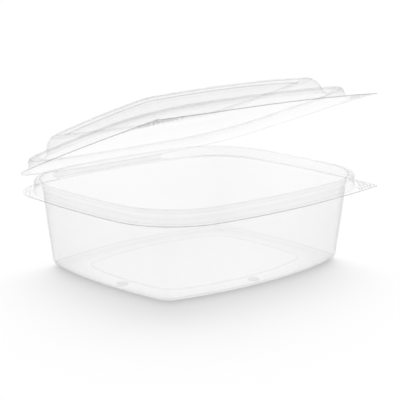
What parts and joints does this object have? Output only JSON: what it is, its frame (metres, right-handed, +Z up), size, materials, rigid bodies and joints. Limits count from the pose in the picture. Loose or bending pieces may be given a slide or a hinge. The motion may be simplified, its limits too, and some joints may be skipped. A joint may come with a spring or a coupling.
{
  "type": "hinged deli container",
  "caption": "Clear, empty hinged takeaway container with a tapered bowed tray, a snap rim and a domed lid held ajar on a living hinge along the back.",
  "frame": {"origin": "centre of the bounding box in X and Y, on the surface the container stands on", "axes": "+Z up, +X along the hinge to the right, -Y towards the front where the lid opens"},
  "size_m": [0.1728, 0.1536, 0.1087],
  "materials": {
    "clear_tray": "clear, glossy thermoformed sheet",
    "clear_hinge": "clear sheet, folded thin",
    "clear_lid": "clear, glossy thermoformed sheet"
  },
  "bodies": {
    "base": {"tray": "clear_tray", "hinge": "clear_hinge"},
    "cover": {"lid": "clear_lid"}
  },
  "joints": [
    {"name": "lid_hinge", "type": "hinge", "parent": "base", "child": "cover", "pos_m": [0, 0.07635, 0.04485], "axis": [-1, 0, 0], "range_deg": [-20.6, 159.4]}
  ]
}
